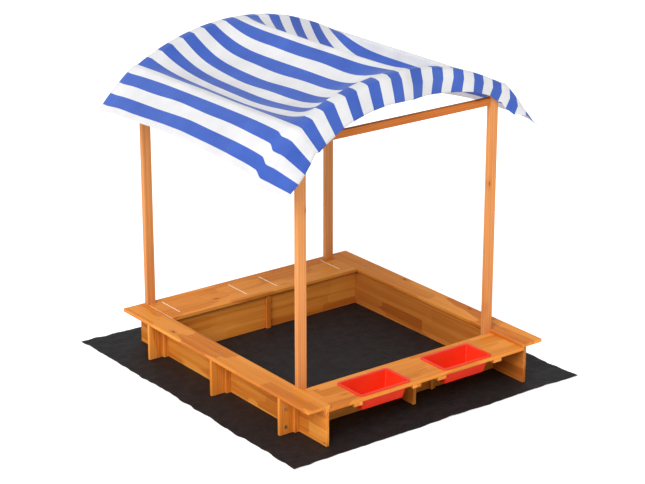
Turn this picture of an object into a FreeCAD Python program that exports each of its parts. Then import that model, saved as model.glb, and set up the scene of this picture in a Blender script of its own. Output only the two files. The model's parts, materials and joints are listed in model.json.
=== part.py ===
import FreeCAD, Part
import math
import os
import re

import Sketcher

# A wooden sandbox on a ground cloth: two seats, a storage bench with two lift-out lids, a front
# deck with two drop-in basins, and a striped canopy over two bent ribs on four posts.
# +X is right along the front, -Y is the front, +Z is up, and z = 0 is the ground. Millimetres.

SIZES = [
    ("outer_width", 1180, "over the two seats"),
    ("outer_depth", 1304, "front to back, over the seats"),
    ("board", 14, "thickness of every board"),
    ("edge_round", 1.5, "rounded edges of the wood"),
    ("soft_gap", 0.3, "air beside cloth and under bent pieces"),
    ("ground_cloth_width", 1438, "left to right"),
    ("ground_cloth_depth", 1532, "front to back"),
    ("ground_cloth_shift", 28, "how far the cloth's middle lies behind the frame's"),
    ("ground_cloth_thick", 1.2, "thickness"),
    ("seat_height", 169, "seat's top over the cloth"),
    ("seat_width", 104, "seat board"),
    ("board_overhang", 6, "seats and deck stand out past the walls' inner faces"),
    ("deck_depth", 203, "front deck"),
    ("front_wall_setback", 183, "from the deck's front edge to the front wall"),
    ("bench_depth", 219, "top of the storage bench"),
    ("bench_overhang", 19, "bench top past its front wall"),
    ("post_width", 41, "post along the front"),
    ("post_depth", 21, "post front to back"),
    ("bracket_reach", 84, "seat brackets stand out this far"),
    ("cleat_width", 21, "corner cleats along their wall"),
    ("cleat_depth", 12, "corner cleats out from the board"),
    ("rail_gap", 53, "front and back rails' top below the rib, at the posts"),
    ("rail_height", 30, "every rail"),
    ("side_rail_width", 20, "side rails and ridge bar"),
    ("crown_height", 1346, "top of the canopy over the cloth"),
    ("arch_radius", 1000, "outside of the canopy over the ribs"),
    ("rib_thick", 20, "bent ribs"),
    ("rib_width", 28, "bent ribs, front to back"),
    ("rib_setback", 4, "rib's back face to the post's back face"),
    ("eave_fall", 5, "side rail's top below the rib's end"),
    ("canopy_thick", 3, "canopy body"),
    ("flap_length", 221, "canopy flap below each eave"),
    ("flap_angle", 46, "flap's slope below level"),
    ("valance_drop", 88, "front and back canopy edges hang down"),
    ("corner_drop", 55, "and their corners hang down less"),
    ("valance_reach", 60, "and stand out"),
    ("hem_depth", 14, "hanging edges are this much deeper at the hem"),
    ("trough_drop", 112, "sag between eave and ridge, half-way between the ribs"),
    ("trough_place", 0.6, "where the sag is deepest, as a share from ridge to eave"),
    ("near_reach", 150, "from a rib to where most of the sag is reached"),
    ("near_share", 0.75, "share of the sag there"),
    ("basin_length", 254, "rim, left to right"),
    ("basin_width", 160, "rim, front to back"),
    ("basin_depth", 70, "below the rim"),
    ("basin_wall", 2.5, "moulded wall"),
    ("basin_taper", 15, "each side leans in, rim to floor"),
    ("basin_rim", 10, "rim's width past the body"),
    ("rim_thick", 4, "rim"),
    ("rim_corner", 18, "rim's corner radius"),
    ("basin_spacing", 416, "between the basins' middles"),
    ("basin_clearance", 1, "round the body in the deck"),
    ("front_strip", 18, "deck in front of a basin's cut-out"),
    ("batten_width", 41, "battens under the deck"),
    ("batten_margin", 6, "batten to cut-out"),
    ("lid_length", 338, "storage lid"),
    ("lid_width", 141, "storage lid"),
    ("lid_end_gap", 4, "air at each end of a lid"),
    ("lid_side_gap", 1.5, "air at each side of a lid"),
    ("lid_spacing", 502, "between the lids' middles"),
    ("lid_setback", 44, "bench's front edge to the lid's opening"),
    ("ledge_width", 30, "ledge under each lid end"),
    ("ledge_cover", 14, "how much of a ledge lies under the fixed bench"),
    ("cleat_offset", 152, "front wall's cleat from the middle"),
    ("screw_radius", 1.9, "screw shank"),
    ("screw_head", 3.6, "screw head radius"),
    ("head_thick", 1, "screw head"),
    ("screw_length", 34, "shank"),
    ("screw_clearance", 0.1, "round a shank"),
    ("seat_screw_inset", 49, "from the seat's outer edge"),
    ("end_screw_inset", 11, "from the side wall's front end"),
    ("end_screw_low", 14, "lower end screw over the wall's foot"),
    ("bolt_radius", 3, "bracket bolt"),
    ("bolt_head", 6.5, "bolt cap and nut radius"),
    ("bolt_head_thick", 3, "bolt cap"),
    ("nut_thick", 5, "nut"),
    ("bolt_inset", 26, "bolts from the bracket's outer edge"),
    ("bolt_low", 33, "lower bolt over the bracket's foot"),
    ("bolt_high", 107, "upper bolt over the bracket's foot"),
]

DERIVED = [
    ("foot", "ground_cloth_thick + soft_gap"),
    ("board_top", "foot + seat_height - board"),
    ("deck_low", "board_top - board"),
    ("seat_inner", "outer_width / 2 - seat_width"),
    ("wall_inner", "seat_inner + board_overhang"),
    ("wall_outer", "wall_inner + board"),
    ("front_edge", "-outer_depth / 2"),
    ("back_edge", "outer_depth / 2"),
    ("front_wall_face", "front_edge + front_wall_setback"),
    ("front_post_face", "front_wall_face + board"),
    ("back_post_face", "back_edge - board - post_depth"),
    ("bench_edge", "back_edge - bench_depth"),
    ("bench_wall_face", "bench_edge + bench_overhang"),
    ("store_front", "bench_wall_face + board"),
    ("store_back", "back_edge - board"),
    ("arch_centre", "foot + crown_height - arch_radius"),
    ("rib_radius", "arch_radius - canopy_thick - soft_gap"),
    ("rib_inside", "rib_radius - rib_thick"),
    ("post_inner", "wall_inner - post_width"),
    ("eave", "wall_inner + side_rail_width"),
    ("front_rib_face", "front_post_face + post_depth - rib_setback - rib_width"),
    ("back_rib_face", "back_post_face + post_depth - rib_setback - rib_width"),
    ("rib_end_top", "arch_centre + sqrt(rib_radius ^ 2 - wall_inner ^ 2)"),
    ("side_rail_top", "rib_end_top - eave_fall"),
    ("ridge_top", "arch_centre + rib_inside - soft_gap"),
    ("hole_length", "basin_length - 2 * basin_rim + 2 * basin_clearance"),
    ("hole_width", "basin_width - 2 * basin_rim + 2 * basin_clearance"),
    ("basin_middle", "front_edge + front_strip + hole_width / 2"),
    ("lid_hole_length", "lid_length + 2 * lid_end_gap"),
    ("lid_hole_width", "lid_width + 2 * lid_side_gap"),
]

doc = FreeCAD.newDocument("sandbox_with_cover")
sheet = doc.addObject("Spreadsheet::Sheet", "Sizes")
workings = doc.addObject("Spreadsheet::Sheet", "Workings")
ALIASES = [name for name, *_ in SIZES + DERIVED]


def on_sheet(text):
    """Point every size named in an expression at the sheet."""
    names = "|".join(sorted(ALIASES, key=len, reverse=True))
    return re.sub(rf"\b({names})\b", r"Sizes.\1", str(text))


def fill_sheet():
    row = 1
    for alias, value, note in SIZES:
        sheet.set(f"A{row}", note)
        sheet.set(f"B{row}", str(value))
        sheet.setAlias(f"B{row}", alias)
        row += 1
    for alias, formula in DERIVED:
        sheet.set(f"A{row}", "worked out")
        sheet.set(f"B{row}", "=" + formula)
        sheet.setAlias(f"B{row}", alias)
        row += 1
    doc.recompute()


def size(alias):
    """A size from the sheet, as a number."""
    return float(sheet.get(alias))


def bind(thing, prop, text):
    thing.setExpression(prop, on_sheet(text))


def place(thing, corner):
    for axis, text in zip("xyz", corner):
        bind(thing, f"Placement.Base.{axis}", text)


# ---------------------------------------------------------------- boards with sketched outlines

PLANES = {"XY": (0, 1, 2), "XZ": (0, 2, 1), "YZ": (1, 2, 0)}
H_AXIS, V_AXIS, ORIGIN = -1, -2, (-1, 1)


def new_body(label):
    body = doc.addObject("PartDesign::Body", label)
    body.Label = label
    return body


def new_sketch(body, plane, lift=None):
    sketch = body.newObject("Sketcher::SketchObject", "Outline")
    role = plane + "_Plane"
    support = next(item for item in body.Origin.OriginFeatures if item.Role == role)
    sketch.AttachmentSupport = [(support, "")]
    sketch.MapMode = "FlatFace"
    if lift is not None:
        bind(sketch, "AttachmentOffset.Base.z", lift)
    return sketch


def fix_point(sketch, geometry, end, across, up):
    """Hold one sketch point at the distances named, or on the axis where one is zero."""
    for kind, text, axis in (("DistanceX", across, V_AXIS), ("DistanceY", up, H_AXIS)):
        if text == "0":
            sketch.addConstraint(Sketcher.Constraint("PointOnObject", geometry, end, axis))
            continue
        value = size_of(text)
        index = sketch.addConstraint(Sketcher.Constraint(kind, *ORIGIN, geometry, end, value))
        bind(sketch, f"Constraints[{index}]", text)


def size_of(text):
    """The value of a formula of sheet names and plain numbers."""
    workings.set("A1", "=" + on_sheet(text))
    workings.recompute()
    return float(workings.get("A1"))


def outline(body, plane, points, lift=None):
    """A closed polygon sketch through points given as pairs of formulas."""
    sketch = new_sketch(body, plane, lift)
    spots = [FreeCAD.Vector(size_of(u), size_of(v), 0) for u, v in points]
    count = len(points)
    for i in range(count):
        sketch.addGeometry(Part.LineSegment(spots[i], spots[(i + 1) % count]))
    for i in range(count):
        sketch.addConstraint(Sketcher.Constraint("Coincident", i, 2, (i + 1) % count, 1))
    for i, (across, up) in enumerate(points):
        fix_point(sketch, i, 1, across, up)
    return sketch


def rectangle(across, up, length, height):
    """The corners of a rectangle whose first corner is (across, up)."""
    far = length if across == "0" else f"{across} + {length}"
    top = height if up == "0" else f"{up} + {height}"
    return [(across, up), (far, up), (far, top), (across, top)]


def pad(body, sketch, plane, thick):
    feature = body.newObject("PartDesign::Pad", "Board")
    feature.Profile = sketch
    feature.Reversed = plane == "XZ"
    bind(feature, "Length", thick)
    doc.recompute()
    return feature


def round_edges(body, base, radius, names=None):
    feature = body.newObject("PartDesign::Fillet", "RoundedEdges")
    names = names or [f"Edge{i + 1}" for i in range(len(base.Shape.Edges))]
    feature.Base = (base, names)
    bind(feature, "Radius", radius)
    doc.recompute()
    return feature


def cut_through(body, sketch):
    """Cut a sketch right through the board, and make sure that it removed something."""
    before = body.Shape.Volume
    feature = body.newObject("PartDesign::Pocket", "Opening")
    feature.Profile = sketch
    feature.Type = "ThroughAll"
    feature.Midplane = True
    doc.recompute()
    if body.Shape.Volume >= before:
        raise RuntimeError(f"{body.Label}: an opening cut nothing")


def window(body, plane, points, corner_radius=None):
    cut_through(body, outline(body, plane, points))
    if corner_radius:
        round_upright_corners(body, points, corner_radius)


def round_upright_corners(body, points, radius):
    """Round the corner edges that a window left, found by where they stand."""
    spots = [(size_of(u), size_of(v)) for u, v in points]
    names = []
    for i, edge in enumerate(body.Shape.Edges, start=1):
        middle = edge.CenterOfMass - body.Placement.Base
        upright = edge.BoundBox.ZLength > size("board") / 2
        if upright and any(math.hypot(middle.x - u, middle.y - v) < 1 for u, v in spots):
            names.append(f"Edge{i}")
    round_edges(body, body.Tip, radius, names)


def drill(body, plane, across, up, radius, depth=None, lift=None, reverse=False):
    """A round hole, right through or to a depth from a lifted plane."""
    sketch = new_sketch(body, plane, lift)
    spot = FreeCAD.Vector(size_of(across), size_of(up), 0)
    sketch.addGeometry(Part.Circle(spot, FreeCAD.Vector(0, 0, 1), size_of(radius)))
    fix_point(sketch, 0, 3, across, up)
    index = sketch.addConstraint(Sketcher.Constraint("Radius", 0, size_of(radius)))
    bind(sketch, f"Constraints[{index}]", radius)
    if depth is None:
        cut_through(body, sketch)
        return
    before = body.Shape.Volume
    feature = body.newObject("PartDesign::Pocket", "Hole")
    feature.Profile = sketch
    feature.Reversed = reverse
    bind(feature, "Length", depth)
    doc.recompute()
    if body.Shape.Volume >= before:
        raise RuntimeError(f"{body.Label}: a hole cut nothing")


def plank(label, plane, dims, corner, windows=(), windows_radius=None):
    """A board with rounded edges: dims and corner are formulas along X, Y and Z."""
    across, up, through = PLANES[plane]
    body = new_body(label)
    sketch = outline(body, plane, rectangle("0", "0", dims[across], dims[up]))
    base = pad(body, sketch, plane, dims[through])
    round_edges(body, base, "edge_round")
    for opening in windows:
        window(body, plane, rectangle(*opening), windows_radius)
    place(body, corner)
    return body


# ---------------------------------------------------------------- the box

SIDES = (("left", -1), ("right", 1))
ROWS = (
    ("front", "front_wall_face"),
    ("middle", "-board / 2"),
    ("back", "bench_wall_face"),
)


def low_x(sign, near, far):
    """Where a mirrored piece starts, when it spans from near to far on one side."""
    return near if sign > 0 else f"-({far})"


def build_walls():
    wall_height = "seat_height - board"
    for side, sign in SIDES:
        wall = plank(
            f"side_wall_{side}", "YZ",
            ("board", "outer_depth", wall_height),
            (low_x(sign, "wall_inner", "wall_outer"), "front_edge", "foot"),
        )
        for height in ("end_screw_low", "seat_height - 1.5 * board"):
            drill(wall, "YZ", "end_screw_inset", height, "screw_radius + screw_clearance")
    plank(
        "front_wall", "XZ",
        ("2 * wall_inner", "board", "deck_low - foot"),
        ("-wall_inner", "front_wall_face", "foot"),
    )
    plank(
        "inner_back_wall", "XZ",
        ("2 * wall_inner", "board", wall_height),
        ("-wall_inner", "bench_wall_face", "foot"),
    )
    plank(
        "outer_back_wall", "XZ",
        ("2 * wall_inner", "board", wall_height),
        ("-wall_inner", "store_back", "foot"),
    )
    plank(
        "storage_divider", "YZ",
        ("board", "store_back - store_front", wall_height),
        ("-board", "store_front", "foot"),
    )
    plank(
        "back_wall_batten", "XZ",
        ("cleat_width", "cleat_depth", wall_height),
        ("0", "bench_wall_face - cleat_depth", "foot"),
    )
    plank(
        "front_wall_cleat", "XZ",
        ("cleat_width", "cleat_depth", "deck_low - foot"),
        ("cleat_offset", "front_wall_face - cleat_depth", "foot"),
    )


def build_seats():
    notch_depth = "board_overhang"
    for side, sign in SIDES:
        inner = "seat_width - board_overhang" if sign < 0 else "0"
        notches = [
            (inner, "front_post_face - front_edge", notch_depth, "post_depth"),
            (inner, "back_post_face - front_edge", notch_depth, "post_depth"),
        ]
        seat = plank(
            f"seat_{side}", "XY",
            ("seat_width", "outer_depth", "board"),
            (low_x(sign, "seat_inner", "outer_width / 2"), "front_edge", "board_top"),
            notches,
        )
        across = "seat_screw_inset" if sign < 0 else "seat_width - seat_screw_inset"
        for _, start in ROWS:
            along = f"{start} + board / 2 - front_edge"
            drill(seat, "XY", across, along, "screw_radius + screw_clearance")


def build_brackets():
    height = "seat_height - board"
    hole = "screw_radius + screw_clearance"
    for side, sign in SIDES:
        for row, start in ROWS:
            bracket = plank(
                f"bracket_{side}_{row}", "XZ",
                ("bracket_reach", "board", height),
                (low_x(sign, "wall_outer", "outer_width / 2"), start, "foot"),
            )
            inset = "seat_screw_inset" if sign < 0 else "bracket_reach - seat_screw_inset"
            drill(bracket, "XY", inset, "board / 2", hole, "screw_length", height)
            if row == "front":
                across = "bolt_inset" if sign < 0 else "bracket_reach - bolt_inset"
                for level in ("bolt_low", "bolt_high"):
                    drill(bracket, "XZ", across, level, "bolt_radius + screw_clearance")
            plank(
                f"cleat_{side}_{row}", "XZ",
                ("cleat_width", "cleat_depth", height),
                (
                    low_x(sign, "wall_outer", "wall_outer + cleat_width"),
                    f"{start} - cleat_depth",
                    "foot",
                ),
            )
    plank(
        "deck_bracket", "YZ",
        ("board", "bracket_reach", "deck_low - foot"),
        ("0", "front_wall_face - bracket_reach", "foot"),
    )


def build_deck():
    openings = []
    for _, sign in SIDES:
        middle = f"wall_inner + {sign} * basin_spacing / 2"
        openings.append((f"{middle} - hole_length / 2", "front_strip", "hole_length", "hole_width"))
    deck = plank(
        "front_deck", "XY",
        ("2 * wall_inner", "deck_depth", "board"),
        ("-wall_inner", "front_edge", "deck_low"),
        openings, "rim_corner - basin_rim",
    )
    across_post = "post_width"
    start = "front_post_face - front_edge"
    for near in ("0", "2 * wall_inner - post_width"):
        window(deck, "XY", rectangle(near, start, across_post, "post_depth"))
    hole = "screw_radius + screw_clearance"
    depth = "screw_length - board"
    drill(deck, "YZ", "end_screw_inset", "board / 2", hole, depth, None, True)
    drill(deck, "YZ", "end_screw_inset", "board / 2", hole, depth, "2 * wall_inner")
    for _, sign in SIDES:
        for place_name, edge in (("outer", 1), ("inner", -1)):
            near = f"basin_spacing / 2 + {edge} * (hole_length / 2 + batten_margin)"
            span = (near, f"{near} + batten_width") if edge > 0 else (f"{near} - batten_width", near)
            side = "left" if sign < 0 else "right"
            plank(
                f"deck_batten_{side}_{place_name}", "XY",
                ("batten_width", "front_wall_setback", "board"),
                (low_x(sign, *span), "front_edge", "deck_low - board"),
            )


def build_bench():
    openings = []
    for _, sign in SIDES:
        middle = f"seat_inner + {sign} * lid_spacing / 2"
        openings.append(
            (f"{middle} - lid_hole_length / 2", "lid_setback", "lid_hole_length", "lid_hole_width")
        )
    notch = "post_width - board_overhang"
    start = "back_post_face - bench_edge"
    openings.append(("0", start, notch, "post_depth"))
    openings.append((f"2 * seat_inner - ({notch})", start, notch, "post_depth"))
    plank(
        "bench_top", "XY",
        ("2 * seat_inner", "bench_depth", "board"),
        ("-seat_inner", "bench_edge", "board_top"),
        openings,
    )
    for side, sign in SIDES:
        plank(
            f"lid_{side}", "XY",
            ("lid_length", "lid_width", "board"),
            (
                f"{sign} * lid_spacing / 2 - lid_length / 2",
                "bench_edge + lid_setback + lid_side_gap",
                "board_top",
            ),
        )
        for end_name, end in (("outer", 1), ("inner", -1)):
            near = f"lid_spacing / 2 + {end} * (lid_hole_length / 2 + ledge_cover)"
            span = (f"{near} - ledge_width", near) if end > 0 else (near, f"{near} + ledge_width")
            plank(
                f"lid_ledge_{side}_{end_name}", "XY",
                ("ledge_width", "store_back - store_front", "board"),
                (low_x(sign, *span), "store_front", "board_top - board"),
            )


# ---------------------------------------------------------------- posts, rails and ribs

def rib_underside(x):
    return f"arch_centre + sqrt(rib_inside ^ 2 - ({x}) ^ 2) - soft_gap - foot"


def build_posts():
    tall = rib_underside("post_inner")
    short = rib_underside("wall_inner")
    for side, sign in SIDES:
        for row, face in (("front", "front_post_face"), ("back", "back_post_face")):
            left, right = (short, tall) if sign < 0 else (tall, short)
            body = new_body(f"post_{side}_{row}")
            corners = [("0", "0"), ("post_width", "0"), ("post_width", right), ("0", left)]
            base = pad(body, outline(body, "XZ", corners), "XZ", "post_depth")
            round_edges(body, base, "edge_round")
            place(body, (low_x(sign, "post_inner", "wall_inner"), face, "foot"))


def build_rails():
    under_rib = rib_underside("post_inner")
    for row, face in (("front", "front_post_face"), ("back", "back_post_face")):
        plank(
            f"{row}_rail", "XZ",
            ("2 * post_inner", "post_depth", "rail_height"),
            ("-post_inner", face, f"foot + {under_rib} - rail_gap - rail_height"),
        )
    for side, sign in SIDES:
        plank(
            f"side_rail_{side}", "YZ",
            ("side_rail_width", "back_rib_face + rib_width - front_rib_face", "rail_height"),
            (low_x(sign, "wall_inner", "eave"), "front_rib_face", "side_rail_top - rail_height"),
        )
    plank(
        "ridge_bar", "YZ",
        ("side_rail_width", "back_rib_face + rib_width - front_rib_face", "rail_height"),
        ("-side_rail_width / 2", "front_rib_face", "ridge_top - rail_height"),
    )


def tube(name, radius, length, face):
    """A cylinder that lies front to back, round the arch's centre line."""
    round_bar = doc.addObject("Part::Cylinder", name)
    bind(round_bar, "Radius", radius)
    bind(round_bar, "Height", length)
    round_bar.Placement.Rotation = FreeCAD.Rotation(FreeCAD.Vector(1, 0, 0), -90)
    place(round_bar, ("0", face, "arch_centre"))
    return round_bar


def build_ribs():
    for row, face in (("front", "front_rib_face"), ("back", "back_rib_face")):
        outside = tube(f"{row}_outside", "rib_radius", "rib_width", face)
        inside = tube(f"{row}_inside", "rib_inside", "rib_width", face)
        ring = doc.addObject("Part::Cut", f"{row}_ring")
        ring.Base = outside
        ring.Tool = inside
        span = doc.addObject("Part::Box", f"{row}_span")
        bind(span, "Length", "2 * wall_inner")
        bind(span, "Width", "rib_width")
        bind(span, "Height", "rib_radius")
        place(span, ("-wall_inner", face, "arch_centre"))
        rib = doc.addObject("Part::Common", f"{row}_rib")
        rib.Base = ring
        rib.Tool = span
        rib.Label = f"{row}_rib"


# ---------------------------------------------------------------- soft pieces

def canopy_section(y, fall, corner_fall, ridge_sag, roof_sag, thick):
    """One closed cross-section of the canopy: flaps, eaves, two roof halves and a narrow ridge."""
    centre = size("arch_centre")
    radius = size("arch_radius")
    wall = size("wall_inner")
    eave = size("eave")
    slope = math.radians(size("flap_angle"))
    flap = size("flap_length")
    eave_top = size("side_rail_top") + size("soft_gap") + size("canopy_thick") - fall
    trough = wall * size("trough_place")
    ridge = size("side_rail_width") / 2
    flap_end = eave_top + fall - corner_fall - flap * math.sin(slope)
    half = [
        (eave + flap * math.cos(slope), flap_end),
        (eave, eave_top),
        (wall, centre + math.sqrt(radius ** 2 - wall ** 2) - fall),
        (trough, centre + math.sqrt(radius ** 2 - trough ** 2) - fall - roof_sag),
        (ridge, centre + math.sqrt(radius ** 2 - ridge ** 2) - fall - ridge_sag),
    ]

    def spot(index, side, drop):
        x, z = half[index]
        return FreeCAD.Vector(side * x, y, z - drop)

    def bands(drop):
        return [
            Part.makeLine(spot(0, -1, drop), spot(1, -1, drop)),
            Part.makeLine(spot(1, -1, drop), spot(2, -1, drop)),
            Part.Arc(spot(2, -1, drop), spot(3, -1, drop), spot(4, -1, drop)).toShape(),
            Part.makeLine(spot(4, -1, drop), spot(4, 1, drop)),
            Part.Arc(spot(4, 1, drop), spot(3, 1, drop), spot(2, 1, drop)).toShape(),
            Part.makeLine(spot(2, 1, drop), spot(1, 1, drop)),
            Part.makeLine(spot(1, 1, drop), spot(0, 1, drop)),
        ]

    ends = [Part.makeLine(spot(0, side, 0), spot(0, side, thick)) for side in (1, -1)]
    return Part.Wire(Part.__sortEdges__(bands(0) + [ends[0]] + bands(thick) + [ends[1]]))


def build_canopy():
    """A closed shell over the ribs: hanging edges, and a sag between rib, ridge and eave."""
    thick = size("canopy_thick")
    front = size("front_rib_face")
    front_inner = front + size("rib_width")
    back_inner = size("back_rib_face")
    back = back_inner + size("rib_width")
    reach = size("valance_reach")
    fall = size("valance_drop")
    corner = size("corner_drop")
    hem = thick + size("hem_depth")
    sag = size("trough_drop")
    near_sag = sag * size("near_share")
    ridge = size("rib_thick")
    near = size("near_reach")
    stations = [
        (front - reach, fall, corner, 0, 0, hem),
        (front, 0, 0, 0, 0, thick),
        (front_inner, 0, 0, 0, 0, thick),
        (front_inner + near, 0, 0, ridge, near_sag, thick),
        ((front_inner + back_inner) / 2, 0, 0, ridge, sag, thick),
        (back_inner - near, 0, 0, ridge, near_sag, thick),
        (back_inner, 0, 0, 0, 0, thick),
        (back, 0, 0, 0, 0, thick),
        (back + reach, fall, corner, 0, 0, hem),
    ]
    sections = [canopy_section(*station) for station in stations]
    canopy = doc.addObject("Part::Feature", "canopy")
    canopy.Shape = Part.makeLoft(sections, True, True)
    canopy.Label = "canopy"


def build_ground_cloth():
    cloth = doc.addObject("Part::Box", "ground_cloth")
    cloth.Label = "ground_cloth"
    bind(cloth, "Length", "ground_cloth_width")
    bind(cloth, "Width", "ground_cloth_depth")
    bind(cloth, "Height", "ground_cloth_thick")
    place(cloth, ("-ground_cloth_width / 2", "ground_cloth_shift - ground_cloth_depth / 2", "0"))


# ---------------------------------------------------------------- basins

def leaning_block(body, kind, length, width, lean, low, high):
    """A rectangular block that narrows downwards, added to the body or taken from it."""
    sketches = []
    for level, margin in ((high, "0"), (low, lean)):
        inset = "basin_rim" if margin == "0" else f"basin_rim + {margin}"
        long = f"({length}) - 2 * ({margin})"
        wide = f"({width}) - 2 * ({margin})"
        extra = f"((basin_length - 2 * basin_rim) - ({length})) / 2"
        corner = f"{inset} + {extra}"
        sketches.append(outline(body, "XY", rectangle(corner, corner, long, wide), level))
    feature = body.newObject(kind, "Bowl")
    feature.Profile = sketches[0]
    feature.Sections = [sketches[1]]
    feature.Ruled = True
    doc.recompute()
    return feature


def leaning_edges(shape, tall):
    """Names of the corner edges that run from rim to floor."""
    return [f"Edge{i}" for i, edge in enumerate(shape.Edges, 1) if edge.BoundBox.ZLength > tall]


def build_basins():
    outer_length = "basin_length - 2 * basin_rim"
    outer_width = "basin_width - 2 * basin_rim"
    inner_length = f"{outer_length} - 2 * basin_wall"
    inner_width = f"{outer_width} - 2 * basin_wall"
    for side, sign in SIDES:
        body = new_body(f"basin_{side}")
        additive = "PartDesign::AdditiveLoft"
        outer = leaning_block(
            body, additive, outer_length, outer_width, "basin_taper", "0", "basin_depth"
        )
        tall = size("basin_depth") * 0.8
        corner = "rim_corner - basin_rim"
        rounded = round_edges(body, outer, corner, leaning_edges(outer.Shape, tall))
        floor = [
            f"Edge{i}" for i, edge in enumerate(rounded.Shape.Edges, 1)
            if edge.BoundBox.ZMax < 0.01
        ]
        round_edges(body, rounded, "basin_wall * 2", floor)
        rim_sketch = outline(body, "XY", rectangle("0", "0", "basin_length", "basin_width"), "basin_depth")
        rim = body.newObject("PartDesign::Pad", "Rim")
        rim.Profile = rim_sketch
        bind(rim, "Length", "rim_thick")
        doc.recompute()
        rim_corners = [
            f"Edge{i}" for i, edge in enumerate(rim.Shape.Edges, 1)
            if edge.BoundBox.ZMin > size("basin_depth") - 0.01
            and edge.BoundBox.ZLength > size("rim_thick") * 0.9
        ]
        round_edges(body, rim, "rim_corner", rim_corners)
        before = body.Shape.Volume
        hollow = leaning_block(
            body, "PartDesign::SubtractiveLoft", inner_length, inner_width, "basin_taper",
            "basin_wall", "basin_depth + rim_thick",
        )
        if body.Shape.Volume >= before:
            raise RuntimeError(f"{body.Label}: the hollow cut nothing")
        inside = [
            f"Edge{i}" for i, edge in enumerate(hollow.Shape.Edges, 1)
            if edge.BoundBox.ZLength > tall
            and edge.BoundBox.ZMin < size("basin_wall") + 1
            and edge.BoundBox.ZMin > size("basin_wall") - 0.1
            and edge.BoundBox.ZMax > size("basin_depth") + 1
        ]
        round_edges(body, hollow, f"{corner} - basin_wall", inside)
        place(
            body,
            (
                f"{sign} * basin_spacing / 2 - basin_length / 2",
                "basin_middle - basin_width / 2",
                "board_top - basin_depth",
            ),
        )


# ---------------------------------------------------------------- fasteners

TURNS = {
    "up": FreeCAD.Rotation(),
    "down": FreeCAD.Rotation(FreeCAD.Vector(1, 0, 0), 180),
    "back": FreeCAD.Rotation(FreeCAD.Vector(1, 0, 0), -90),
    "front": FreeCAD.Rotation(FreeCAD.Vector(1, 0, 0), 90),
    "right": FreeCAD.Rotation(FreeCAD.Vector(0, 1, 0), 90),
    "left": FreeCAD.Rotation(FreeCAD.Vector(0, 1, 0), -90),
}


def rod(radius, length, corner, turn):
    """A cylinder that starts at corner and runs the way that turn says."""
    bar = doc.addObject("Part::Cylinder", "Rod")
    bind(bar, "Radius", radius)
    bind(bar, "Height", length)
    bar.Placement.Rotation = TURNS[turn]
    place(bar, corner)
    return bar


def headed(head_radius, head_thick, shank_radius, shank_length, spot, outwards, inwards):
    """A screw or bolt whose head sits on the face at spot."""
    fused = doc.addObject("Part::Fuse", "Headed")
    fused.Base = rod(head_radius, head_thick, spot, outwards)
    fused.Tool = rod(shank_radius, shank_length, spot, inwards)
    return fused


def group(label, pieces):
    together = doc.addObject("Part::Compound", label)
    together.Links = pieces
    together.Label = label


def build_fasteners():
    seat_screws = []
    end_screws = []
    bolts = []
    nuts = []
    for _, sign in SIDES:
        across = f"{sign} * (outer_width / 2 - seat_screw_inset)"
        for _, start in ROWS:
            spot = (across, f"{start} + board / 2", "board_top + board")
            length = "board + screw_length - head_thick"
            seat_screws.append(
                headed("screw_head", "head_thick", "screw_radius", length, spot, "up", "down")
            )
        outwards, inwards = ("left", "right") if sign < 0 else ("right", "left")
        for level, length in (
            ("foot + end_screw_low", "board - head_thick"),
            ("deck_low + board / 2", "screw_length - head_thick"),
        ):
            spot = (f"{sign} * wall_outer", "front_edge + end_screw_inset", level)
            end_screws.append(
                headed("screw_head", "head_thick", "screw_radius", length, spot, outwards, inwards)
            )
        for level in ("bolt_low", "bolt_high"):
            along = f"{sign} * (outer_width / 2 - bolt_inset)"
            spot = (along, "front_wall_face", f"foot + {level}")
            length = "board + nut_thick"
            bolts.append(
                headed("bolt_head", "bolt_head_thick", "bolt_radius", length, spot, "front", "back")
            )
            behind = (along, "front_wall_face + board", f"foot + {level}")
            nut = doc.addObject("Part::Cut", "Nut")
            nut.Base = rod("bolt_head", "nut_thick", behind, "back")
            nut.Tool = rod("bolt_radius + screw_clearance", "nut_thick", behind, "back")
            nuts.append(nut)
    group("seat_screws", seat_screws)
    group("wall_end_screws", end_screws)
    group("bracket_bolts", bolts)
    group("bracket_nuts", nuts)


# ---------------------------------------------------------------- build, check and write

def finished():
    """Every object that stands for a sub-part: those that nothing else uses."""
    kinds = ("PartDesign::Body", "Part::")
    parts = []
    for item in doc.Objects:
        if not item.TypeId.startswith(kinds) or item.TypeId.startswith("Part::Part2D"):
            continue
        inside_body = item.TypeId != "PartDesign::Body" and item.getParentGeoFeatureGroup()
        used = [other for other in item.InList if other.TypeId.startswith("Part::")]
        if not inside_body and not used:
            parts.append(item)
    return parts


def write_parts(parts):
    os.makedirs("parts", exist_ok=True)
    for item in doc.Objects:
        if "Invalid" in item.State or "Error" in item.State:
            raise RuntimeError(f"{item.Label} did not build: {item.State}")
    for item in parts:
        shape = item.Shape
        if shape.isNull() or not shape.isValid() or not shape.Solids:
            raise RuntimeError(f"{item.Label} has no valid solid")
    for item in parts:
        item.Shape.exportStep(os.path.join("parts", item.Label + ".step"))
        print(item.Label, len(item.Shape.Solids), round(item.Shape.Volume))


fill_sheet()
build_ground_cloth()
build_walls()
build_seats()
build_brackets()
build_deck()
build_bench()
build_posts()
build_rails()
build_ribs()
build_canopy()
build_basins()
build_fasteners()
doc.recompute()
write_parts(finished())
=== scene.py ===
import json
import math

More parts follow.
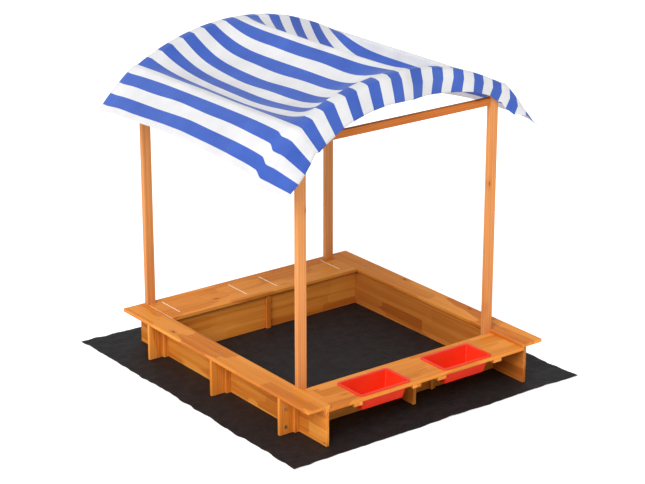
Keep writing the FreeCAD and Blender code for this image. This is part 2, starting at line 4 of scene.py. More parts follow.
import bpy
import numpy as np
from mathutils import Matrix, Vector


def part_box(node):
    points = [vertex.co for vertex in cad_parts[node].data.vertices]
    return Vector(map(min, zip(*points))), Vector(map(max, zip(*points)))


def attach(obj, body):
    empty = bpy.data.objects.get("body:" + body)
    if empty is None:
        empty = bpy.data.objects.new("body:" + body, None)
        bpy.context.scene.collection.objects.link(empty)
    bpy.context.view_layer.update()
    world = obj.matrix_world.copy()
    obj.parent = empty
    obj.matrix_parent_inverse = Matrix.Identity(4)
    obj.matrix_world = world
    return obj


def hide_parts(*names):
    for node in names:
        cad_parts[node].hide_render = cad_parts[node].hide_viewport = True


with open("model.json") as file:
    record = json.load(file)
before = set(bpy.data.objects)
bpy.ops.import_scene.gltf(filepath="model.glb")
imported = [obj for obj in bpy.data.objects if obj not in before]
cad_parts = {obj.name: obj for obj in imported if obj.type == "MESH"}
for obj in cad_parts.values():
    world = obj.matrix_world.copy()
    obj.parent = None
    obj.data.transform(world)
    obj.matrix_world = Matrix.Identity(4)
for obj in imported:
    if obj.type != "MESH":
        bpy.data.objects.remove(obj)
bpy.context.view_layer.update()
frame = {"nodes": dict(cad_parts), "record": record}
nodes = frame["nodes"]
scene = bpy.context.scene

# ---------------------------------------------------------------- camera, light and floor
AIM = Vector((-0.0197, 0.0169, 0.5264))
AZIMUTH, ELEVATION, DISTANCE = math.radians(-37.0), math.radians(19.86), 8.244
LENS, SENSOR = 113.0, 36.0
SKY, SUN, SUN_SOFTNESS = 0.60, 2.75, math.radians(38)
SUN_FROM = Vector((-0.72, -0.42, 0.68))
SUN_AWAY = 5
FLOOR_HALF = 40.0
FLOOR_DROP = 0.0006
FLOOR_GREY, FLOOR_GLOW = 0.72, 0.62


def look(obj, target):
    obj.rotation_euler = (target - obj.location).to_track_quat("-Z", "Y").to_euler()


def material(name):
    """A new material: (material, nodes, links, shader)."""
    mat = bpy.data.materials.new(name)
    mat.use_nodes = True
    tree = mat.node_tree
    return mat, tree.nodes, tree.links, tree.nodes["Principled BSDF"]


def add_camera():
    camera = bpy.data.objects.new("camera", bpy.data.cameras.new("camera"))
    camera.data.lens = LENS
    camera.data.sensor_width = SENSOR
    camera.data.clip_end = 200
    flat = math.cos(ELEVATION)
    away = Vector((math.sin(AZIMUTH) * flat, -math.cos(AZIMUTH) * flat, math.sin(ELEVATION)))
    camera.location = AIM + DISTANCE * away
    look(camera, AIM)
    scene.collection.objects.link(camera)
    scene.camera = camera


def add_lights():
    world = bpy.data.worlds.new("studio")
    scene.world = world
    world.use_nodes = True
    world.node_tree.nodes["Background"].inputs["Color"].default_value = (1, 1, 1, 1)
    world.node_tree.nodes["Background"].inputs["Strength"].default_value = SKY
    sun = bpy.data.objects.new("softbox", bpy.data.lights.new("softbox", "SUN"))
    sun.data.energy = SUN
    sun.data.angle = SUN_SOFTNESS
    sun.location = SUN_FROM * SUN_AWAY
    look(sun, Vector((0, 0, 0)))
    scene.collection.objects.link(sun)


def add_floor():
    mesh = bpy.data.meshes.new("studio_floor")
    h = FLOOR_HALF
    mesh.from_pydata([(-h, -h, 0), (h, -h, 0), (h, h, 0), (-h, h, 0)], [], [(0, 1, 2, 3)])
    floor = bpy.data.objects.new("studio_floor", mesh)
    floor.location.z = -FLOOR_DROP
    mat, _, _, shader = material("studio_floor")
    shader.inputs["Base Color"].default_value = (FLOOR_GREY, FLOOR_GREY, FLOOR_GREY, 1)
    shader.inputs["Roughness"].default_value = 0.9
    shader.inputs["Emission Color"].default_value = (1, 1, 1, 1)
    shader.inputs["Emission Strength"].default_value = FLOOR_GLOW
    mesh.materials.append(mat)
    scene.collection.objects.link(floor)


add_camera()
add_lights()
add_floor()
scene.view_settings.view_transform = "Standard"


# ---------------------------------------------------------------- material helpers
# Each takes a material's nodes as n and its links; a value is a socket, a number or a colour.
def new(n, kind, **inputs):
    """A shader node with some of its inputs set; keys with underscores stand for spaces."""
    node = n.new(kind)
    for key, value in inputs.items():
        node.inputs[key.replace("_", " ")].default_value = value
    return node


def ramp(n, links, factor, *stops):
    """Colours along a factor, from (place, colour) stops."""
    node = n.new("ShaderNodeValToRGB")
    elements = node.color_ramp.elements
    while len(elements) < len(stops):
        elements.new(0.5)
    for element, (place, colour) in zip(elements, stops):
        element.position = place
        element.color = (*colour, 1)
    links.new(factor, node.inputs["Fac"])
    return node.outputs["Color"]


def plug(links, socket, value):
    """Gives an input a value, or a link to it."""
    if isinstance(value, bpy.types.NodeSocket):
        links.new(value, socket)
    else:
        socket.default_value = (*value, 1) if isinstance(value, tuple) else value


def mix(n, links, factor, a, b, blend="MIX"):
    """A colour mix."""
    node = n.new("ShaderNodeMix")
    node.data_type = "RGBA"
    node.blend_type = blend
    for index, value in ((0, factor), (6, a), (7, b)):
        plug(links, node.inputs[index], value)
    return node.outputs[2]


def maths(n, links, operation, a, b=0.0):
    node = n.new("ShaderNodeMath")
    node.operation = operation
    plug(links, node.inputs[0], a)
    plug(links, node.inputs[1], b)
    return node.outputs[0]


def times(n, links, first, *others):
    """A product of values."""
    for other in others:
        first = maths(n, links, "MULTIPLY", first, other)
    return first


def noise(n, links, scale, detail, roughness=0.5):
    """Noise through the object's own coordinates."""
    coord = n.new("ShaderNodeTexCoord")
    node = new(n, "ShaderNodeTexNoise", Scale=scale, Detail=detail, Roughness=roughness)
    links.new(coord.outputs["Object"], node.inputs["Vector"])
    return node.outputs["Fac"]


def bump(n, links, shader, height, strength, distance):
    node = new(n, "ShaderNodeBump", Strength=strength, Distance=distance)
    links.new(height, node.inputs["Height"])
    links.new(node.outputs["Normal"], shader.inputs["Normal"])


# ---------------------------------------------------------------- wood
LIGHT, HONEY, DEEP = (0.77, 0.300, 0.052), (0.67, 0.222, 0.028), (0.50, 0.135, 0.015)
LIGHT_POST, HONEY_POST, DEEP_POST = (0.71, 0.310, 0.098), (0.62, 0.240, 0.070), (0.50, 0.165, 0.042)
# darker copies of the pine tones: painted shade for the inner right wall, which stands in the canopy's and
# the seat's shadow
LIGHT_PAINTED_SHADE, HONEY_PAINTED_SHADE, DEEP_PAINTED_SHADE = (0.54, 0.180, 0.030), (0.44, 0.130, 0.019), (0.33, 0.082, 0.010)
# darker pine tones for the rails: painted shade, as they lie under the canopy
LIGHT_RAIL_PAINTED_SHADE, HONEY_RAIL_PAINTED_SHADE, DEEP_RAIL_PAINTED_SHADE = (0.60, 0.190, 0.032), (0.50, 0.138, 0.020), (0.38, 0.090, 0.011)
KNOT, RAW_END = (0.16, 0.036, 0.007), (0.95, 0.80, 0.62)
# shares of streaks, clouds and growth rings in the wood's tone
STREAK_SHARE, CLOUD_SHARE, RING_SHARE = 0.50, 0.34, 0.13
PATCH_SHARE = 0.30
KNOTLESS = 0.45
END_FACING = 0.55
BLACK, WHITE = (0, 0, 0), (1, 1, 1)


def stretched(n, links, axis, along, across, shift=0.0):
    """The object's coordinates scaled one way along an axis and another across it."""
    coord = n.new("ShaderNodeTexCoord")
    mapping = n.new("ShaderNodeMapping")
    mapping.inputs["Scale"].default_value = [along if i == axis else across for i in range(3)]
    mapping.inputs["Location"].default_value = (shift, shift * 1.7, shift * 0.6)
    links.new(coord.outputs["Object"], mapping.inputs["Vector"])
    return mapping.outputs["Vector"]


def channel(n, links, colour, name):
    parts = n.new("ShaderNodeSeparateColor")
    links.new(colour, parts.inputs["Color"])
    return parts.outputs[name]


def wood_grain(n, links, axis, patches):
    """(streaks, clouds, tone): the fine and the wide unevenness, and both with rings and glued patches."""
    streaks = new(n, "ShaderNodeTexNoise", Scale=1.0, Detail=7.0, Roughness=0.62, Distortion=0.25)
    links.new(stretched(n, links, axis, 2.2, 75.0), streaks.inputs["Vector"])
    clouds = new(n, "ShaderNodeTexNoise", Scale=1.0, Detail=3.0, Roughness=0.5)
    links.new(stretched(n, links, axis, 1.6, 9.0, 3.1), clouds.inputs["Vector"])
    rings = new(n, "ShaderNodeTexWave", Scale=1.0, Distortion=5.0, Detail=3.0, Detail_Scale=1.2)
    rings.wave_type = "RINGS"
    rings.rings_direction = "XYZ"[axis]
    links.new(stretched(n, links, axis, 0.9, 34.0, 1.3), rings.inputs["Vector"])
    staves = new(n, "ShaderNodeTexVoronoi", Scale=1.0, Randomness=0.75)
    staves.distance = "CHEBYCHEV"
    links.new(stretched(n, links, axis, 3.6, 15.0, 7.7), staves.inputs["Vector"])

    tone = times(n, links, streaks.outputs["Fac"], STREAK_SHARE)
    for part, share in (
        (clouds.outputs["Fac"], CLOUD_SHARE),
        (rings.outputs["Fac"], RING_SHARE),
        (channel(n, links, staves.outputs["Color"], "Red"), patches),
    ):
        tone = maths(n, links, "ADD", tone, times(n, links, part, share))
    tone = maths(n, links, "ADD", tone, (PATCH_SHARE - patches) / 2)
    return streaks.outputs["Fac"], clouds.outputs["Fac"], tone


def add_knots(n, links, axis, colour, clouds, deep):
    """The wood's colour with a few dark knots, each in a darker halo."""
    spots = new(n, "ShaderNodeTexVoronoi", Scale=1.0)
    links.new(stretched(n, links, axis, 5.5, 14.0, 5.2), spots.inputs["Vector"])
    green = channel(n, links, spots.outputs["Color"], "Green")
    chosen = maths(n, links, "GREATER_THAN", green, KNOTLESS)
    wobble = times(n, links, clouds, 0.04)
    reach = maths(n, links, "ADD", spots.outputs["Distance"], wobble)
    for inner, outer, strength, tint in ((0.09, 0.24, 0.60, deep), (0.06, 0.105, 0.85, KNOT)):
        spot = ramp(n, links, reach, (inner, WHITE), (outer, BLACK))
        colour = mix(n, links, times(n, links, spot, chosen, strength), colour, tint)
    return colour


def wood(name, axis, tones=(LIGHT, HONEY, DEEP), pale_ends=False, patches=PATCH_SHARE):
    """Stained pine: long streaks and growth rings along axis, glued patches, a few knots."""
    mat, n, links, shader = material(name)
    streaks, clouds, tone = wood_grain(n, links, axis, patches)
    light, honey, deep = tones
    colour = ramp(n, links, tone, (0.42, deep), (0.61, honey), (0.82, light))
    colour = add_knots(n, links, axis, colour, clouds, deep)
    if pale_ends:
        facing = n.new("ShaderNodeNewGeometry")
        parts = n.new("ShaderNodeSeparateXYZ")
        links.new(facing.outputs["Normal"], parts.inputs["Vector"])
        across = maths(n, links, "ABSOLUTE", parts.outputs["XYZ"[axis]])
        colour = mix(n, links, maths(n, links, "GREATER_THAN", across, END_FACING), colour, RAW_END)
    links.new(colour, shader.inputs["Base Color"])
    gloss = new(n, "ShaderNodeMapRange", To_Min=0.58, To_Max=0.40)
    links.new(streaks, gloss.inputs["Value"])
    links.new(gloss.outputs["Result"], shader.inputs["Roughness"])
    shader.inputs["Specular IOR Level"].default_value = 0.12
    bump(n, links, shader, tone, 0.35, 0.0012)
    return mat


def dress(mat, *names):
    """Gives CAD nodes a material."""
    for name in names:
        slots = nodes[name].data.materials
        slots.clear()
        slots.append(mat)


X, Y, Z = 0, 1, 2
WOODS = {key: wood(f"pine_along_{key}", axis) for key, axis in (("x", X), ("y", Y), ("z", Z))}
WOODS["bench"] = wood("pine_bench", X, pale_ends=True)
# the rails' darker tones are painted shade from the canopy over them
WOODS["rail"] = wood("pine_rail_painted_shade", X, (LIGHT_RAIL_PAINTED_SHADE, HONEY_RAIL_PAINTED_SHADE, DEEP_RAIL_PAINTED_SHADE), patches=0.0)
WOODS["post"] = wood("pine_post", Z, (LIGHT_POST, HONEY_POST, DEEP_POST), patches=0.0)
# painted shade: the inner right wall's wood is darkened here, not stained darker
WOODS["shade"] = wood("pine_painted_shade", Y, (LIGHT_PAINTED_SHADE, HONEY_PAINTED_SHADE, DEEP_PAINTED_SHADE))
ALONG = {
    "x": ("front_wall", "inner_back_wall", "outer_back_wall", "front_deck", "front_rib", "back_rib"),
    "bench": ("bench_top", "lid_left", "lid_right"),
    # the rails get the darker wood of painted shade
    "rail": ("front_rail", "back_rail"),
    "post": [name for name in nodes if name.startswith("post_")],
    # the inner right wall gets the darker wood of painted shade
    "shade": ("side_wall_right",),
}
wooden = [p["node"] for p in frame["record"]["subparts"] if p["material_slot"] == "pine"]
for key, names in ALONG.items():
    dress(WOODS[key], *names)
placed = {name for names in ALONG.values() for name in names}
for name in wooden:
    if name not in placed:
        low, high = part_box(name)
        spans = [b - a for a, b in zip(low, high)]
        dress(WOODS["xyz"[spans.index(max(spans))]], name)


# ---------------------------------------------------------------- zinc and moulded plastic
def zinc():
    mat, n, links, shader = material("zinc")
    spangle = noise(n, links, 900.0, 3.0)
    tint = ramp(n, links, spangle, (0.3, (0.40, 0.40, 0.41)), (0.7, (0.60, 0.60, 0.62)))
    links.new(tint, shader.inputs["Base Color"])
    shader.inputs["Metallic"].default_value = 1.0
    shader.inputs["Roughness"].default_value = 0.38
    bump(n, links, shader, spangle, 0.2, 0.0002)
    return mat


def red_plastic():
    mat, n, links, shader = material("red_plastic")
    clouds = noise(n, links, 14.0, 2.0)
    grain = noise(n, links, 1400.0, 2.0)
    tint = ramp(n, links, clouds, (0.3, (0.78, 0.022, 0.004)), (0.7, (0.83, 0.034, 0.007)))
    links.new(tint, shader.inputs["Base Color"])
    shader.inputs["Roughness"].default_value = 0.36
    shader.inputs["Specular IOR Level"].default_value = 0.35
    shader.inputs["Subsurface Weight"].default_value = 0.10
    shader.inputs["Subsurface Radius"].default_value = (0.02, 0.003, 0.002)
    shader.inputs["Subsurface Scale"].default_value = 0.5
    bump(n, links, shader, grain, 0.08, 0.0002)
    return mat


dress(zinc(), "seat_screws", "wall_end_screws", "bracket_bolts", "bracket_nuts")
dress(red_plastic(), "basin_left", "basin_right")


# ---------------------------------------------------------------- canopy shape
# The cloth is placed by s, the arc place across it from the ridge (left is negative), and v, the
# depth over the frame from front to back. Metres.
STRIPE, STRIPES, HEM = 0.0549, 27, 0.028
CUT_HALF = STRIPES * STRIPE / 2 + HEM
CANOPY_R, ARCH_CENTRE = 0.9985, 0.3475
WALL_X = 0.492
EAVE_X, EAVE_Z = 0.513, 1.2135
# cloth from ridge to eave: over the ribs, and half-way between them on the left and on the right
EAVE_S_RIB, EAVE_S_MID, EAVE_S_LOOSE = 0.541, 0.550, 0.590
FRONT_OUT, FRONT_IN = -0.466, -0.438
BACK_IN, BACK_OUT = 0.598, 0.634
VALANCE = 0.125
FOLD_SHARE = 0.28
FLAP_RUN, FLAP_BEND = 0.22, math.radians(14.0)
PLEAT = 0.018
# arc place, then outward and down to the fold, outward, down and inward to the hem
FRONT_HANG = [
    (-0.769, 0.022, 0.001, 0.112, 0.003, 0.021),
    (-0.741, 0.022, 0.002, 0.110, 0.021, 0.019),
    (-0.686, 0.022, 0.003, 0.099, 0.045, 0.038),
    (-0.631, 0.022, 0.003, 0.075, 0.070, 0.055),
    (-0.576, 0.022, 0.003, 0.072, 0.085, 0.050),
    (-0.522, 0.022, 0.003, 0.068, 0.090, 0.040),
    (-0.467, 0.022, 0.003, 0.062, 0.092, 0.030),
    (-0.300, 0.022, 0.003, 0.060, 0.092, 0.015),
    (-0.100, 0.020, 0.006, 0.042, 0.100, 0.004),
    (0.000, 0.020, 0.030, 0.032, 0.108, 0.000),
    (0.027, 0.020, 0.055, 0.026, 0.112, 0.001),
    (0.137, 0.010, 0.046, 0.010, 0.104, 0.006),
    (0.247, 0.006, 0.037, 0.006, 0.093, 0.012),
    (0.357, 0.008, 0.028, 0.014, 0.074, 0.010),
    (0.467, 0.006, 0.032, 0.008, 0.064, 0.015),
    (0.576, 0.004, 0.040, 0.006, 0.076, 0.025),
    (0.631, 0.012, 0.036, 0.022, 0.064, 0.028),
    (0.686, 0.022, 0.016, 0.036, 0.026, 0.012),
    (0.769, 0.026, 0.006, 0.046, 0.012, 0.000),
]
BACK_HANG = [
    (-0.769, 0.003, 0.002, 0.020, 0.016, 0.085),
    (-0.640, 0.012, 0.010, 0.035, 0.050, 0.055),
    (-0.540, 0.020, 0.012, 0.040, 0.085, 0.020),
    (-0.300, 0.022, 0.012, 0.040, 0.095, 0.015),
    (0.000, 0.022, 0.020, 0.032, 0.105, 0.000),
    (0.300, 0.022, 0.012, 0.040, 0.095, 0.015),
    (0.540, 0.022, 0.012, 0.050, 0.085, 0.020),
    (0.640, 0.022, 0.012, 0.060, 0.070, 0.030),
    (0.769, 0.022, 0.010, 0.070, 0.060, 0.040),
]
# the roof half-way between the ribs, from ridge to eave, as (x, z): taut on the left, loose on the right
MID_ROOF = [
    (0, 1.3435), (0.012, 1.3395), (0.027, 1.3235), (0.080, 1.2795), (0.136, 1.2465),
    (0.190, 1.2225), (0.243, 1.2035), (0.296, 1.1920), (0.350, 1.1895), (0.400, 1.1905),
    (0.450, 1.1990), (0.482, 1.2125), (0.500, 1.2140), (0.513, 1.2135),
]
LOOSE_ROOF = [
    (0, 1.3435), (0.012, 1.3395), (0.027, 1.3185), (0.080, 1.2660), (0.136, 1.2270),
    (0.190, 1.1970), (0.243, 1.1730), (0.296, 1.1550), (0.350, 1.1440), (0.400, 1.1430),
    (0.438, 1.1500), (0.462, 1.1640), (0.474, 1.1800), (0.484, 1.2170), (0.492, 1.2230),
    (0.500, 1.2190), (0.513, 1.2135),
]
# the flaps' slopes, in degrees below level, at depths from front to back
FLAP_Y = (-0.60, -0.486, -0.445, -0.38, -0.25, 0.05, 0.35, 0.586, 0.75)
LEFT_FLAP = (60, 60, 58, 47, 40, 35, 37, 43, 44)
RIGHT_FLAP = (53, 52, 50, 50, 56, 65, 63, 56, 50)


def smooth(a, b, x):
    k = np.clip((x - a) / (b - a), 0, 1)
    return k * k * (3 - 2 * k)


def along(points, count=400, window=31, ends=12):
    """A polyline's points by share of its length, its corners rounded away from its ends."""
    p = np.array(points, float)
    d = np.r_[0, np.cumsum(np.hypot(*np.diff(p, axis=0).T))]
    k = np.linspace(0, d[-1], count)
    x, z = np.interp(k, d, p[:, 0]), np.interp(k, d, p[:, 1])
    weights = np.hanning(window)
    weights /= weights.sum()
    pad = window // 2
    before, after = 2 * z[0] - z[pad:0:-1], 2 * z[-1] - z[-2:-pad - 2:-1]
    rounded = np.convolve(np.r_[before, z, after], weights, "valid")
    step = np.arange(count)
    keep = smooth(0, ends, step) * smooth(0, ends, step[::-1])
    return x, z + (rounded - z) * keep


MID_X, MID_Z = along(MID_ROOF)
LOOSE_X, LOOSE_Z = along(LOOSE_ROOF)
RIB_ARC = CANOPY_R * np.arcsin(WALL_X / CANOPY_R)
EAVE_RUN = np.hypot(EAVE_X - WALL_X, EAVE_Z - ARCH_CENTRE - np.sqrt(CANOPY_R**2 - WALL_X**2))


def rib_point(k):
    """k from 0 at the crown to 1 at the eave."""
    a = k * (RIB_ARC + EAVE_RUN)
    t = np.minimum(a, RIB_ARC) / CANOPY_R
    x, z = CANOPY_R * np.sin(t), ARCH_CENTRE + CANOPY_R * np.cos(t)
    e = np.clip((a - RIB_ARC) / EAVE_RUN, 0, 1)
    return x + e * (EAVE_X - x), z + e * (EAVE_Z - z)


def sag_share(y):
    """0 over the ribs, 1 half-way between them."""
    half = (BACK_IN - FRONT_IN) / 2
    d = np.minimum(y - FRONT_IN, BACK_IN - y)
    return np.where(d <= 0, 0, 1 - (1 - np.clip(d / half, 0, 1)) ** 4.0)


def roof_point(s, y):
    """Cloth between the outer faces of the ribs, with its flaps: (x, z) at arc place s."""
    left = s < 0
    a = np.abs(s)
    w = sag_share(y)
    eave = EAVE_S_RIB + (np.where(left, EAVE_S_MID, EAVE_S_LOOSE) - EAVE_S_RIB) * w
    k = np.clip(a / eave, 0, 1)
    xr, zr = rib_point(k)
    share = np.linspace(0, 1, len(MID_X))
    xm = np.where(left, np.interp(k, share, MID_X), np.interp(k, share, LOOSE_X))
    zm = np.where(left, np.interp(k, share, MID_Z), np.interp(k, share, LOOSE_Z))
    x, z = xr + (xm - xr) * w, zr + (zm - zr) * w
    pleat = PLEAT * smooth(-0.40, -0.43, y) * smooth(0.55, 0.60, a) * left
    g = (np.maximum(a - eave, 0) + pleat) / FLAP_RUN
    slope = np.where(left, np.interp(y, FLAP_Y, LEFT_FLAP), np.interp(y, FLAP_Y, RIGHT_FLAP))
    start = np.radians(slope) - FLAP_BEND / 2
    scale = FLAP_RUN / FLAP_BEND
    x = x + np.where(g > 0, scale * (np.sin(start + FLAP_BEND * g) - np.sin(start)), 0)
    z = z + np.where(g > 0, scale * (np.cos(start + FLAP_BEND * g) - np.cos(start)), 0)
    return np.where(left, -x, x), z


def canopy_point(s, v):
    """Place of the cloth at arc place s and depth v; beyond the ribs v is cloth that hangs."""
    y = np.clip(v, FRONT_OUT, BACK_OUT)
    x, z = roof_point(s, y)
    side = np.where(s < 0, -1.0, 1.0)
    for edge, sign, table in ((FRONT_OUT, -1.0, FRONT_HANG), (BACK_OUT, 1.0, BACK_HANG)):
        t = np.array(table)
        fold_f, fold_d, hem_f, hem_d, hem_in = (np.interp(s, t[:, 0], t[:, i]) for i in range(1, 6))
        u = np.clip(sign * (v - edge) / VALANCE, 0, 1)
        first = np.clip(u / FOLD_SHARE, 0, 1)
        rest = np.clip((u - FOLD_SHARE) / (1 - FOLD_SHARE), 0, 1)
        y = y + sign * (first * fold_f + rest * (hem_f - fold_f))
        z = z - first * fold_d - rest * (hem_d - fold_d)
        x = x - side * rest * hem_in
    return x, y, z
# ---------------------------------------------------------------- end canopy shape


# ---------------------------------------------------------------- cloth materials
def weave(n, links, per_metre):
    """(place across the cloth, height of a plain weave), from the cloth's own flat coordinates."""
    uv = n.new("ShaderNodeUVMap")
    uv.uv_map = "flat"
    parts = n.new("ShaderNodeSeparateXYZ")
    links.new(uv.outputs["UV"], parts.inputs["Vector"])
    turns = per_metre * 2 * math.pi
    threads = [maths(n, links, "SINE", times(n, links, parts.outputs[key], turns)) for key in "XY"]
    return parts.outputs["X"], times(n, links, *threads)


def striped_cloth():
    mat, n, links, shader = material("striped_cloth")
    across, threads = weave(n, links, 420.0)
    place = maths(n, links, "ADD", maths(n, links, "DIVIDE", across, STRIPE), STRIPES / 2)
    # every other stripe is blue, and the hems past the outer two are white
    past_first = maths(n, links, "GREATER_THAN", place, 0.0)
    before_last = maths(n, links, "LESS_THAN", place, float(STRIPES))
    pair = maths(n, links, "MODULO", maths(n, links, "ADD", place, 100.0), 2.0)
    blue = times(n, links, maths(n, links, "LESS_THAN", pair, 1.0), past_first, before_last)
    cloud = noise(n, links, 9.0, 4.0)
    fibre = noise(n, links, 520.0, 2.0)
    blues = ramp(n, links, cloud, (0.3, (0.036, 0.090, 0.39)), (0.7, (0.047, 0.113, 0.45)))
    whites = ramp(n, links, cloud, (0.3, (0.60, 0.60, 0.615)), (0.7, (0.68, 0.68, 0.69)))
    shade = ramp(n, links, fibre, (0.25, (0.90, 0.90, 0.90)), (0.75, WHITE))
    colour = mix(n, links, 1.0, mix(n, links, blue, whites, blues), shade, "MULTIPLY")
    links.new(colour, shader.inputs["Base Color"])
    shader.inputs["Roughness"].default_value = 0.82
    shader.inputs["Specular IOR Level"].default_value = 0.2
    shader.inputs["Sheen Weight"].default_value = 0.15
    shader.inputs["Subsurface Weight"].default_value = 0.30
    shader.inputs["Subsurface Radius"].default_value = (0.004, 0.004, 0.004)
    shader.inputs["Subsurface Scale"].default_value = 0.5
    height = maths(n, links, "ADD", times(n, links, threads, 0.5), fibre)
    bump(n, links, shader, height, 0.25, 0.0006)
    return mat


def ground_material():
    mat, n, links, shader = material("ground_weave")
    _, threads = weave(n, links, 300.0)
    cloud = noise(n, links, 22.0, 6.0, 0.65)
    dust = noise(n, links, 420.0, 3.0)
    tint = ramp(n, links, cloud, (0.30, (0.006, 0.0055, 0.006)), (0.72, (0.018, 0.017, 0.018)))
    speck = ramp(n, links, dust, (0.35, (0.75, 0.75, 0.75)), (0.75, (1.35, 1.3, 1.3)))
    links.new(mix(n, links, 1.0, tint, speck, "MULTIPLY"), shader.inputs["Base Color"])
    shader.inputs["Roughness"].default_value = 0.60
    shader.inputs["Specular IOR Level"].default_value = 0.25
    height = maths(n, links, "ADD", times(n, links, threads, 0.3), times(n, links, cloud, 3.0))
    bump(n, links, shader, height, 0.8, 0.0014)
    return mat


# ---------------------------------------------------------------- cloth pieces
def grid_piece(name, x, y, z, flat_u, flat_v, mat, thick):
    """A sheet from 2-D arrays of points, with its flat coordinates in metres as UVs."""
    rows, columns = x.shape
    index = np.arange(rows * columns).reshape(rows, columns)
    quads = np.stack([index[:-1, :-1], index[:-1, 1:], index[1:, 1:], index[1:, :-1]], -1).reshape(-1, 4)
    mesh = bpy.data.meshes.new(name)
    points = np.stack([x, y, z], -1).reshape(-1, 3)
    mesh.from_pydata(points.tolist(), [], quads.tolist())
    layer = mesh.uv_layers.new(name="flat")
    flat = np.stack([flat_u, flat_v], -1).reshape(-1, 2)[quads.reshape(-1)]
    layer.data.foreach_set("uv", flat.astype(np.float32).reshape(-1))
    mesh.polygons.foreach_set("use_smooth", np.ones(len(quads), bool))
    mesh.materials.append(mat)
    mesh.update()
    piece = bpy.data.objects.new(name, mesh)
    scene.collection.objects.link(piece)
    shell = piece.modifiers.new("thickness", "SOLIDIFY")
    shell.thickness = thick
    shell.offset = 0
    return piece


def waves(x, y, seed, count, shortest, longest):
    """Smooth uneven waves, about -1 to 1, with wavelengths in metres."""
    rng = np.random.default_rng(seed)
    total = np.zeros_like(x)
    for _ in range(count):
        angle, phase = rng.uniform(0, math.tau, 2)
        length = math.exp(rng.uniform(math.log(shortest), math.log(longest)))
        travel = x * math.cos(angle) + y * math.sin(angle)
        total += np.sin(travel * math.tau / length + phase) * (length / longest) ** 0.5
    return total / count**0.5


COLUMNS, SPAN_ROWS, HANG_ROWS, RIB_ROWS = 225, 110, 11, 2
CANOPY_THICK, GROUND_THICK = 0.0011, 0.0009
RIPPLE, FLAP_WAVE, FLUTTER = 0.0035, 0.004, 0.005
GROUND_COLUMNS, GROUND_ROWS = 241, 257
GROUND_REST, FOOT_TOP = 0.0007, 0.004
CREASE, CRINKLE, SWELL = 0.0020, 0.0009, 0.0014
EDGE_WAVE, EDGE_BAND = 0.0055, 0.10


def canopy_depths():
    """The rows of the canopy's grid: hanging, over the front rib, the roof, over the back rib, hanging."""
    hang = np.linspace(0, 1, HANG_ROWS + 1)[1:] * VALANCE
    on_rib = np.linspace(0, 1, RIB_ROWS + 2)[1:-1] * (FRONT_IN - FRONT_OUT)
    share = 0.5 - 0.5 * np.cos(np.linspace(0, math.pi, SPAN_ROWS))
    return np.concatenate([
        (FRONT_OUT - hang)[::-1], [FRONT_OUT], FRONT_OUT + on_rib,
        FRONT_IN + (BACK_IN - FRONT_IN) * share,
        BACK_IN + on_rib, [BACK_OUT], BACK_OUT + hang,
    ])


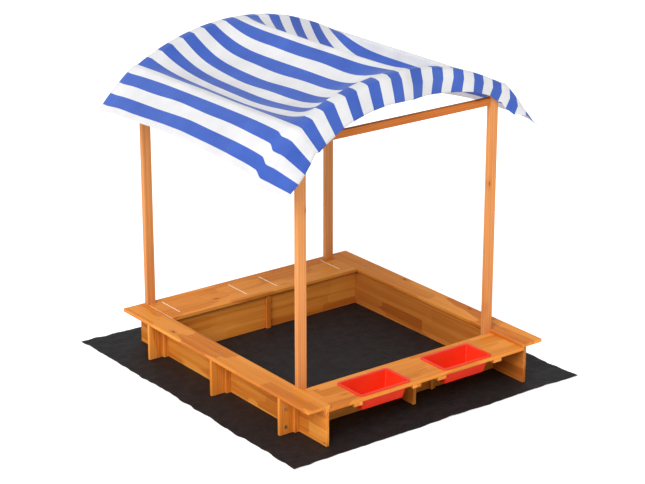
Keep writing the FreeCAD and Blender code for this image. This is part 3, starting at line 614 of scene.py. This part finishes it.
def make_canopy():
    s, v = np.meshgrid(np.linspace(-CUT_HALF, CUT_HALF, COLUMNS), canopy_depths())
    x, y, z = canopy_point(s, v)
    # small waves, none where the cloth lies on a rib, a rail or the ridge
    off_ribs = smooth(0, 0.12, np.minimum(v - FRONT_IN, BACK_IN - v))
    off_rails = smooth(0.02, 0.08, np.abs(np.abs(s) - 0.56)) * smooth(0.0, 0.05, np.abs(s))
    ripple = waves(s, v, seed=4, count=9, shortest=0.10, longest=0.45) * RIPPLE * off_ribs * off_rails
    flap = waves(v, s * 0.3, seed=8, count=5, shortest=0.16, longest=0.6) * FLAP_WAVE
    flap = flap * smooth(0.57, 0.74, np.abs(s))
    loose = smooth(0, VALANCE, FRONT_OUT - v) + smooth(0, VALANCE, v - BACK_OUT)
    z = z + ripple + np.where(np.abs(s) < 0.6, 0, flap * 0.4)
    x = x + np.sign(s) * flap
    y = y + waves(s, v * 0.3, seed=6, count=6, shortest=0.12, longest=0.5) * FLUTTER * loose
    rows = np.median(np.hypot(np.diff(y, axis=0), np.diff(z, axis=0)), axis=1)
    flat_v = np.repeat(np.cumsum(np.r_[0, rows])[:, None], COLUMNS, 1)
    canopy = grid_piece("canopy_sheet", x, y, z, s, flat_v, striped_cloth(), CANOPY_THICK)
    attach(canopy, "frame")
    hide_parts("canopy")


def room_from_feet(u, v):
    """0 where a foot stands on the ground cloth, 1 well away from them all."""
    feet = [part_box(name) for name in nodes if name != "ground_cloth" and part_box(name)[0][2] < FOOT_TOP]
    clear = np.full(u.shape, 1.0)
    for a, b in feet:
        gap_x = np.maximum(np.maximum(a[0] - u, u - b[0]), 0)
        gap_y = np.maximum(np.maximum(a[1] - v, v - b[1]), 0)
        clear = np.minimum(clear, np.hypot(gap_x, gap_y))
    return smooth(0.006, 0.075, clear)


def make_ground():
    low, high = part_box("ground_cloth")
    mid = (low[1] + high[1]) / 2
    across = np.linspace(low[0], high[0], GROUND_COLUMNS)
    u, v = np.meshgrid(across, np.linspace(low[1], high[1], GROUND_ROWS))
    creases = 1 - np.abs(waves(u, v, seed=11, count=14, shortest=0.05, longest=0.42))
    small = waves(u, v, seed=12, count=16, shortest=0.018, longest=0.09)
    swell = waves(u, v, seed=13, count=6, shortest=0.3, longest=1.1)
    lift = 0.0024 + CREASE * np.clip(creases, -0.6, 1) + CRINKLE * small + SWELL * swell
    z = GROUND_REST + room_from_feet(u, v) * np.clip(lift, 0, 0.008)
    # uneven edges that keep their corners
    edge_x = np.minimum(u - low[0], high[0] - u)
    edge_y = np.minimum(v - low[1], high[1] - v)
    corner = smooth(0.0, 0.09, np.maximum(edge_x, edge_y))
    along_y = waves(v, u * 0, seed=15, count=7, shortest=0.07, longest=0.40)
    along_x = waves(u, v * 0, seed=16, count=7, shortest=0.07, longest=0.40)
    x = u - np.sign(u) * corner * (EDGE_WAVE * (1 + along_y) * smooth(EDGE_BAND, 0, edge_x))
    y = v - np.sign(v - mid) * corner * (EDGE_WAVE * (1 + along_x) * smooth(EDGE_BAND, 0, edge_y))
    cloth = grid_piece("ground_sheet", x, y, z, u, v, ground_material(), GROUND_THICK)
    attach(cloth, "frame")
    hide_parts("ground_cloth")


make_canopy()
make_ground()
